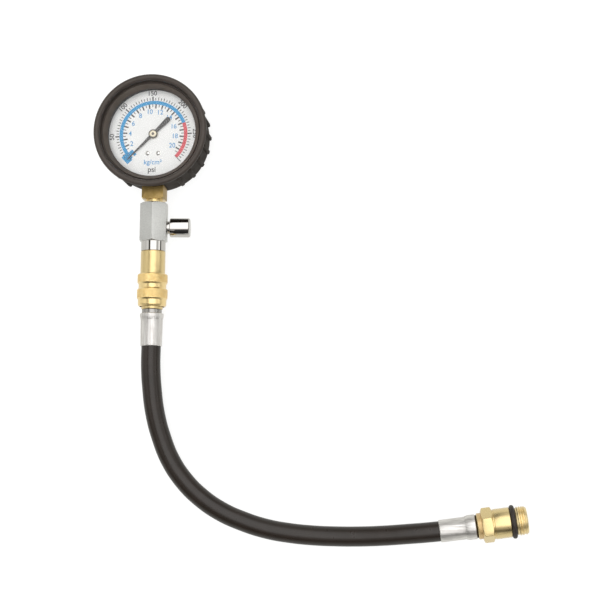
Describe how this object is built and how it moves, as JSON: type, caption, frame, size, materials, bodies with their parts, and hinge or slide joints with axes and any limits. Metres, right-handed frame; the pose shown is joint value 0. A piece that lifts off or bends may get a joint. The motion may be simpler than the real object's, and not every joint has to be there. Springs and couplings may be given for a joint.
{
  "type": "compression tester gauge",
  "caption": "Dial pressure gauge in a ribbed rubber boot, with a push release valve, a quick coupler and a short hose that ends in a threaded brass spark plug fitting.",
  "frame": {"origin": "on the gauge's axis, in the plane of the rubber boot's back, which lies on the bench", "axes": "+Z out of the dial, +Y to the dial's twelve o'clock, the stem and coupler run along -Y, and +X to the dial's three o'clock"},
  "size_m": [0.2757, 0.2995, 0.0346],
  "materials": {
    "boot_rubber": "moulded matte rubber",
    "hose_rubber": "extruded satin rubber",
    "seal_rubber": "moulded seal rubber",
    "case_steel": "black painted pressed steel",
    "bezel_black": "black painted steel",
    "lens_clear": "clear moulded window",
    "dial_white": "printed white dial",
    "pointer_black": "matte black paint",
    "steel": "bright turned steel",
    "plug_steel": "turned steel",
    "movement_brass": "stamped brass",
    "stem_brass": "machined brass, a little dull",
    "coupler_brass": "satin turned brass",
    "sleeve_brass": "knurled brass",
    "fitting_brass": "turned yellow brass",
    "satin_chrome": "satin chrome plate",
    "bright_chrome": "polished chrome plate",
    "ferrule_zinc": "bright crimped sleeve"
  },
  "bodies": {
    "base": {"rubber_boot": "boot_rubber", "gauge_case": "case_steel", "bezel_ring": "bezel_black", "lens": "lens_clear", "lens_gasket": "seal_rubber", "dial_plate": "dial_white", "dial_screws": "steel", "stem_socket": "stem_brass", "bourdon_tube": "movement_brass", "tube_tip": "movement_brass", "back_plate": "movement_brass", "front_plate": "movement_brass", "movement_pillars": "movement_brass", "hairspring": "movement_brass", "manifold_block": "satin_chrome", "valve_guide": "bright_chrome", "valve_spring": "steel", "coupler_body": "coupler_brass", "sleeve_spring": "steel", "locking_balls": "steel", "coupler_seal": "seal_rubber", "sleeve_stop_ring": "steel"},
    "sector": {"sector_gear": "movement_brass", "sector_arbor": "steel"},
    "link_arm": {"link": "steel"},
    "needle": {"pinion_shaft": "steel", "pointer": "pointer_black", "pointer_bush": "movement_brass"},
    "button": {"release_button": "bright_chrome", "valve_stem": "steel", "valve_seal": "seal_rubber"},
    "sleeve": {"coupler_sleeve": "sleeve_brass"},
    "hose_line": {"plug_nipple": "plug_steel", "upper_ferrule": "ferrule_zinc", "hose": "hose_rubber", "lower_ferrule": "ferrule_zinc", "end_fitting": "fitting_brass", "fitting_ring_seal": "seal_rubber", "core_body": "movement_brass"},
    "valve_core": {"core_pin": "steel", "core_seal": "seal_rubber"}
  },
  "joints": [
    {"name": "sector_swing", "type": "hinge", "parent": "base", "child": "sector", "pos_m": [0.01438, 0.00523, 0.0126], "axis": [0, 0, 1], "range_deg": [0, 36], "stiffness_Nm_per_rad": 0.002},
    {"name": "needle_turn", "type": "hinge", "parent": "base", "child": "needle", "pos_m": [0, 0, 0.0126], "axis": [0, 0, -1], "range_deg": [0, 270]},
    {"name": "link_pivot", "type": "hinge", "parent": "sector", "child": "link_arm", "pos_m": [0.01535, -0.00271, 0.0137], "axis": [0, 0, 1], "range_deg": [-36, 0]},
    {"name": "release_press", "type": "slide", "parent": "base", "child": "button", "axis": [-0.9976, 0, 0.0698], "range_m": [0, 0.002], "stiffness_N_per_m": 900, "springref_m": -0.002, "deforming": ["valve_spring"]},
    {"name": "sleeve_slide", "type": "slide", "parent": "base", "child": "sleeve", "axis": [0, 1, 0], "range_m": [0, 0.004], "stiffness_N_per_m": 1500, "springref_m": -0.002, "deforming": ["sleeve_spring"]},
    {"name": "hose_swivel", "type": "hinge", "parent": "base", "child": "hose_line", "pos_m": [0, -0.11, 0.013], "axis": [0, -1, 0], "continuous": true},
    {"name": "core_press", "type": "slide", "parent": "hose_line", "child": "valve_core", "axis": [-0.9903, -0.1392, 0], "range_m": [0, 0.0012], "stiffness_N_per_m": 500, "springref_m": -0.001}
  ],
  "couplings": [
    {"joint": "needle_turn", "follows": "sector_swing", "ratio": 7.5},
    {"joint": "link_pivot", "follows": "sector_swing", "ratio": -1}
  ]
}
